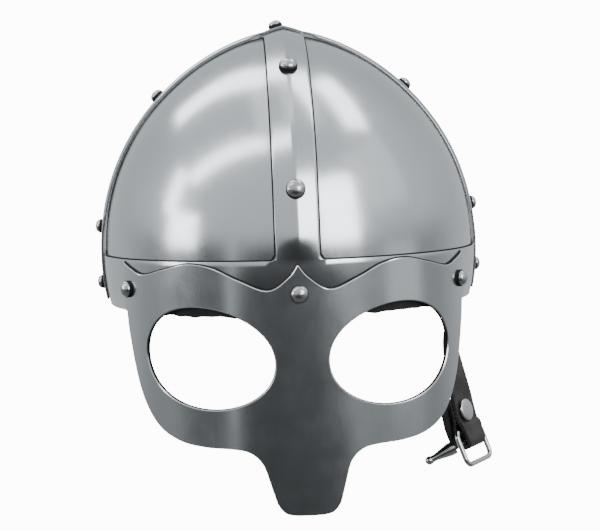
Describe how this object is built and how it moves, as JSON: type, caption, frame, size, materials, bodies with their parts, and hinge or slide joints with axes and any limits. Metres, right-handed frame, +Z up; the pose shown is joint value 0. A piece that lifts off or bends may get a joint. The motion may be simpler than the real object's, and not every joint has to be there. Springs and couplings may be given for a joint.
{
  "type": "viking mask helmet",
  "caption": "Riveted steel dome helmet with crossed bands, a brow band, a spectacle and nose mask plate, and a leather chin strap with a wire buckle.",
  "frame": {"origin": "middle of the brow band's lower edge, where the helmet sits on a head", "axes": "+Z up through the crown, the face looks along -Y, +X is the wearer's left, where the buckle hangs"},
  "size_m": [0.2187, 0.2439, 0.2504],
  "materials": {
    "steel": "satin polished sheet steel",
    "rivet_steel": "polished domed steel rivets",
    "leather": "black strap leather with a worn grain",
    "buckle_steel": "bright nickelled steel"
  },
  "bodies": {
    "root": {"buckle_frame": "buckle_steel", "frame": "steel", "mask": "steel", "panel_front_left": "steel", "panel_front_right": "steel", "panel_rear_left": "steel", "panel_rear_right": "steel", "rivet_band_left_lower": "rivet_steel", "rivet_band_left_upper": "rivet_steel", "rivet_band_right_lower": "rivet_steel", "rivet_band_right_upper": "rivet_steel", "rivet_brow_left": "rivet_steel", "rivet_brow_right": "rivet_steel", "rivet_crown": "rivet_steel", "rivet_front_lower": "rivet_steel", "rivet_front_upper": "rivet_steel", "rivet_mask_left": "rivet_steel", "rivet_mask_middle": "rivet_steel", "rivet_mask_right": "rivet_steel", "rivet_rear_lower": "rivet_steel", "rivet_rear_upper": "rivet_steel", "strap_buckle_side": "leather", "strap_long": "leather", "strap_rivet": "buckle_steel", "strap_tip": "buckle_steel", "transverse_band": "steel"}
  },
  "joints": []
}
